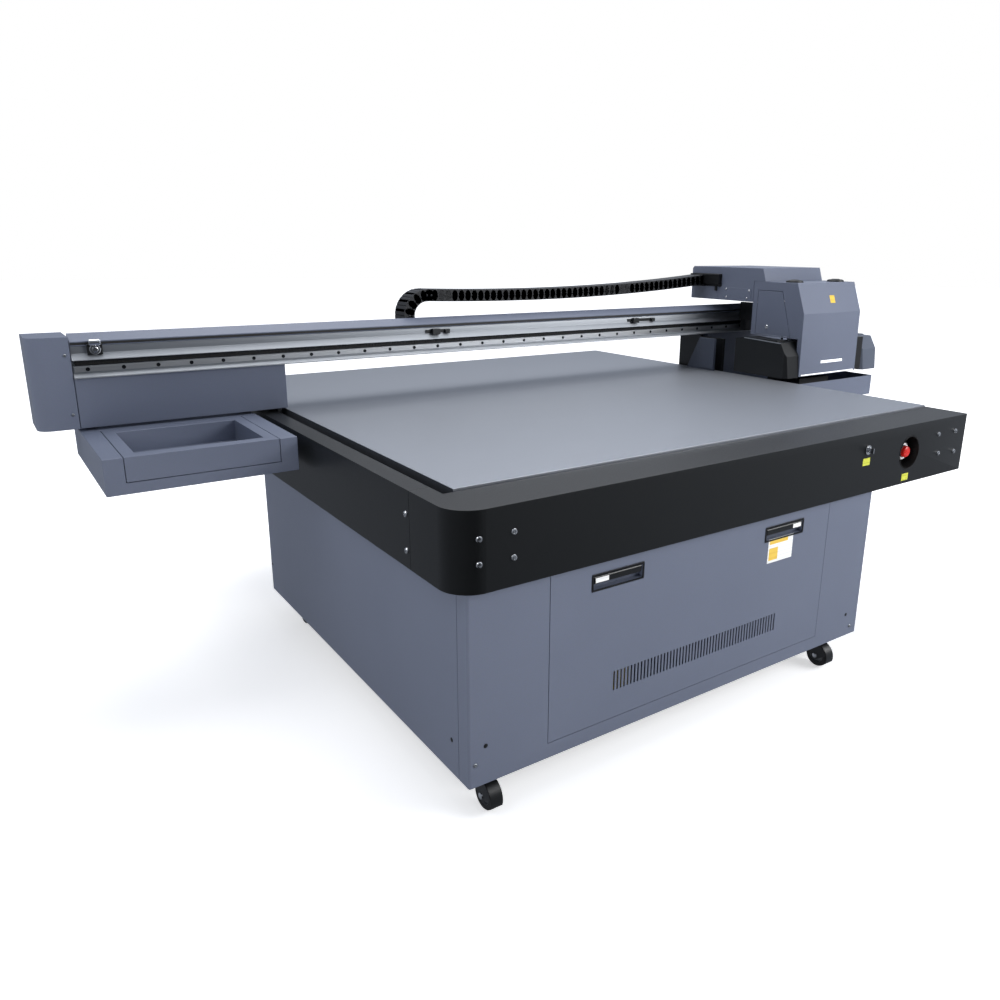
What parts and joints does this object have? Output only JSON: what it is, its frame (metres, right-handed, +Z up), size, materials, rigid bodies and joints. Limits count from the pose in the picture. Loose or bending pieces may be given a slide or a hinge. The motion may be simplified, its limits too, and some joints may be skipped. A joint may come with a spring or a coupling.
{
  "type": "flatbed uv printer",
  "caption": "Wide flatbed UV printer: cabinet on casters, vacuum bed, travelling gantry, print carriage with UV lamps, cable chain and side waste tray.",
  "frame": {"origin": "middle of the machine's footprint, on the floor", "axes": "+X along the gantry towards the parked carriage, +Y from the operator's front towards the back, +Z up"},
  "size_m": [4.302, 2.599, 1.595],
  "materials": {
    "blue_grey_paint": "textured powder coat",
    "black_paint": "satin powder coat",
    "bed_aluminium": "satin anodised",
    "beam_aluminium": "mill finish",
    "rail_steel": "ground",
    "frame_steel": "matt paint",
    "black_plastic": "moulded",
    "black_rubber": "moulded",
    "zinc_steel": "zinc plated",
    "red_plastic": "gloss",
    "chrome": "polished",
    "lamp_grey": "textured powder coat",
    "white_diffuser": "frosted",
    "ink_tank": "moulded"
  },
  "bodies": {
    "chassis": {"base_frame": "frame_steel", "cabinet_floor": "frame_steel", "cabinet_front": "blue_grey_paint", "cabinet_left": "blue_grey_paint", "cabinet_right": "blue_grey_paint", "cabinet_back": "blue_grey_paint", "power_inlet": "black_plastic", "electronics_box": "lamp_grey", "vacuum_blower": "zinc_steel", "ink_tank_black": "ink_tank", "ink_tank_cyan": "ink_tank", "ink_tank_magenta": "ink_tank", "ink_tank_yellow": "ink_tank", "front_fascia": "black_paint", "skirt_left": "black_paint", "skirt_right": "black_paint", "skirt_back": "black_paint", "bed_plate": "bed_aluminium", "table_frame": "frame_steel", "y_rail_left": "rail_steel", "y_rail_right": "rail_steel", "stop_cup": "black_paint", "key_barrel": "chrome"},
    "front_door": {"front_door": "blue_grey_paint"},
    "latch_left": {"latch_left": "black_plastic"},
    "latch_right": {"latch_right": "black_plastic"},
    "stop_button": {"stop_button": "red_plastic"},
    "key": {"key": "chrome"},
    "gantry": {"x_beam": "beam_aluminium", "x_guide_rail": "rail_steel", "beam_cover": "blue_grey_paint", "gantry_cover_left": "blue_grey_paint", "gantry_cover_right": "blue_grey_paint", "gantry_panel_left": "blue_grey_paint", "leg_left": "frame_steel", "leg_right": "black_paint", "station_housing": "blue_grey_paint", "capping_station": "black_plastic", "chain_trough": "black_paint", "tray_box": "blue_grey_paint"},
    "tray_drawer": {"tray_drawer": "blue_grey_paint"},
    "chain_loop": {"chain_loop": "black_plastic"},
    "carriage": {"carriage_housing": "blue_grey_paint", "top_box": "blue_grey_paint", "carriage_backplate": "black_paint", "uv_lamp_left": "black_paint", "uv_lamp_right": "lamp_grey", "status_light": "white_diffuser", "chain_upper_run": "black_plastic"},
    "service_door": {"service_door": "blue_grey_paint"},
    "head_unit": {"head_unit": "beam_aluminium"},
    "caster_front_left": {"caster_fork_front_left": "zinc_steel"},
    "wheel_front_left": {"caster_wheel_front_left": "black_rubber"},
    "caster_front_right": {"caster_fork_front_right": "zinc_steel"},
    "wheel_front_right": {"caster_wheel_front_right": "black_rubber"},
    "caster_back_left": {"caster_fork_back_left": "zinc_steel"},
    "wheel_back_left": {"caster_wheel_back_left": "black_rubber"},
    "caster_back_right": {"caster_fork_back_right": "zinc_steel"},
    "wheel_back_right": {"caster_wheel_back_right": "black_rubber"}
  },
  "joints": [
    {"name": "gantry_travel", "type": "slide", "parent": "chassis", "child": "gantry", "axis": [0, 1, 0], "range_m": [-0.95, 0.45]},
    {"name": "carriage_travel", "type": "slide", "parent": "gantry", "child": "carriage", "axis": [-1, 0, 0], "range_m": [0, 2.74], "deforming": ["chain_upper_run"]},
    {"name": "chain_follow", "type": "slide", "parent": "gantry", "child": "chain_loop", "axis": [-1, 0, 0], "range_m": [0, 1.37]},
    {"name": "head_lift", "type": "slide", "parent": "carriage", "child": "head_unit", "axis": [0, 0, 1], "range_m": [0, 0.1]},
    {"name": "service_hinge", "type": "hinge", "parent": "carriage", "child": "service_door", "pos_m": [1.361, 0.0295, 1.24], "axis": [0, 0, -1], "range_deg": [0, 110]},
    {"name": "drawer_slide", "type": "slide", "parent": "gantry", "child": "tray_drawer", "axis": [0, -1, 0], "range_m": [0, 0.35]},
    {"name": "door_hinge", "type": "hinge", "parent": "chassis", "child": "front_door", "pos_m": [-0.987, -1.2485, 0.178], "axis": [1, 0, 0], "range_deg": [0, 90]},
    {"name": "latch_left_pull", "type": "hinge", "parent": "front_door", "child": "latch_left", "pos_m": [-0.719, -1.2435, 0.704], "axis": [-1, 0, 0], "range_deg": [0, 35], "stiffness_Nm_per_rad": 0.4},
    {"name": "latch_right_pull", "type": "hinge", "parent": "front_door", "child": "latch_right", "pos_m": [0.096, -1.2435, 0.704], "axis": [-1, 0, 0], "range_deg": [0, 35], "stiffness_Nm_per_rad": 0.4},
    {"name": "stop_push", "type": "slide", "parent": "chassis", "child": "stop_button", "axis": [0, 1, 0], "range_m": [0, 0.006]},
    {"name": "key_turn", "type": "hinge", "parent": "chassis", "child": "key", "pos_m": [0.531, -1.2735, 0.943], "axis": [0, 1, 0], "range_deg": [0, 90]},
    {"name": "swivel_front_left", "type": "hinge", "parent": "chassis", "child": "caster_front_left", "pos_m": [-1.189, -1.1735, 0.1227], "axis": [0, 0, 1], "continuous": true},
    {"name": "wheel_spin_front_left", "type": "hinge", "parent": "caster_front_left", "child": "wheel_front_left", "pos_m": [-1.189, -1.2055, 0.05], "axis": [1, 0, 0], "continuous": true},
    {"name": "swivel_front_right", "type": "hinge", "parent": "chassis", "child": "caster_front_right", "pos_m": [0.461, -1.1735, 0.1227], "axis": [0, 0, 1], "continuous": true},
    {"name": "wheel_spin_front_right", "type": "hinge", "parent": "caster_front_right", "child": "wheel_front_right", "pos_m": [0.461, -1.2055, 0.05], "axis": [1, 0, 0], "continuous": true},
    {"name": "swivel_back_left", "type": "hinge", "parent": "chassis", "child": "caster_back_left", "pos_m": [-1.189, 0.4115, 0.1227], "axis": [0, 0, 1], "continuous": true},
    {"name": "wheel_spin_back_left", "type": "hinge", "parent": "caster_back_left", "child": "wheel_back_left", "pos_m": [-1.189, 0.3795, 0.05], "axis": [1, 0, 0], "continuous": true},
    {"name": "swivel_back_right", "type": "hinge", "parent": "chassis", "child": "caster_back_right", "pos_m": [0.461, 0.4115, 0.1227], "axis": [0, 0, 1], "continuous": true},
    {"name": "wheel_spin_back_right", "type": "hinge", "parent": "caster_back_right", "child": "wheel_back_right", "pos_m": [0.461, 0.3795, 0.05], "axis": [1, 0, 0], "continuous": true}
  ],
  "couplings": [
    {"joint": "chain_follow", "follows": "carriage_travel", "ratio": 0.5}
  ]
}
